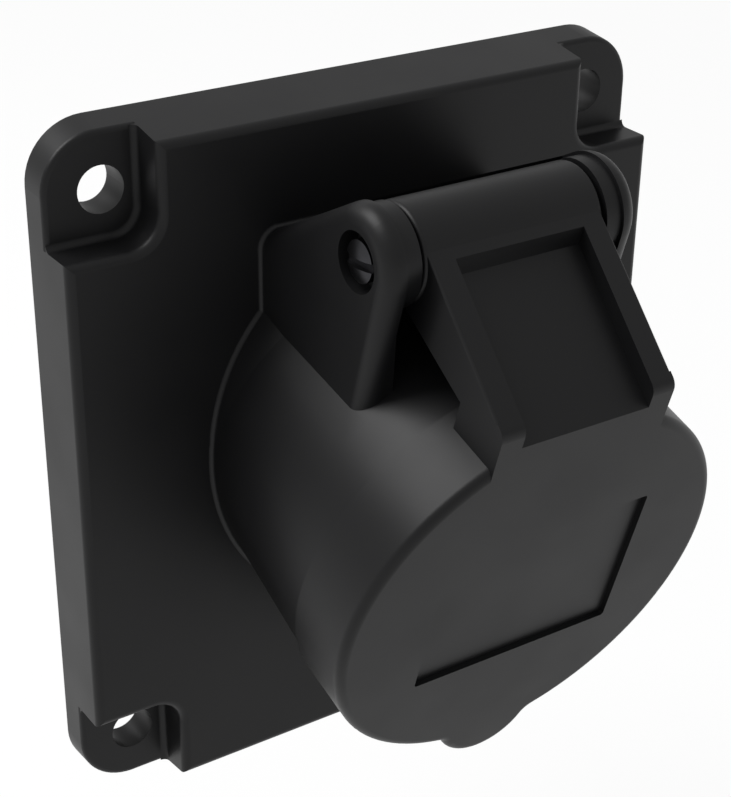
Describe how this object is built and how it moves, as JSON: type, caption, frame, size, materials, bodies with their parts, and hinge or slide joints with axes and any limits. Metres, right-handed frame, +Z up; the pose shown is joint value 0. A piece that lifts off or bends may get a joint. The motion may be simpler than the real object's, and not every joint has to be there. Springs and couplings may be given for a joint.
{
  "type": "panel mount socket",
  "caption": "Inclined panel-mount power socket: square flange, round sleeve and a sprung hinged lid over pin sleeves.",
  "frame": {"origin": "centre of the four fixing holes, on the flange's back face", "axes": "+Y into the panel, -Y to the front, +Z up; the socket's own axis leans 16.6 degrees down"},
  "size_m": [0.08, 0.0788, 0.0864],
  "materials": {
    "moulded_plastic": "satin",
    "carrier_plastic": "matte",
    "black_rubber": "matte",
    "pin_steel": "satin",
    "spring_steel": "satin",
    "zinc_steel": "satin",
    "contact_brass": "satin"
  },
  "bodies": {
    "socket": {"housing": "moulded_plastic", "flange_gasket": "black_rubber", "carrier_gasket": "black_rubber", "hinge_pin": "pin_steel", "hinge_spring": "spring_steel", "contact_carrier": "carrier_plastic", "contact_face": "carrier_plastic", "terminal_block": "carrier_plastic", "block_screw": "zinc_steel", "left_carrier_screw": "zinc_steel", "right_carrier_screw": "zinc_steel", "line_contact": "contact_brass", "line_sleeve_clip": "spring_steel", "line_terminal_screw": "zinc_steel", "neutral_contact": "contact_brass", "neutral_sleeve_clip": "spring_steel", "neutral_terminal_screw": "zinc_steel", "earth_contact": "contact_brass", "earth_sleeve_clip": "spring_steel", "earth_terminal_screw": "zinc_steel"},
    "lid": {"lid": "moulded_plastic", "lid_seal": "black_rubber"}
  },
  "joints": [
    {"name": "lid_hinge", "type": "hinge", "parent": "socket", "child": "lid", "pos_m": [0, -0.02878, 0.03257], "axis": [-1, 0, 0], "range_deg": [0, 105], "stiffness_Nm_per_rad": 0.025, "springref_deg": -68.75, "deforming": ["hinge_spring"]}
  ]
}
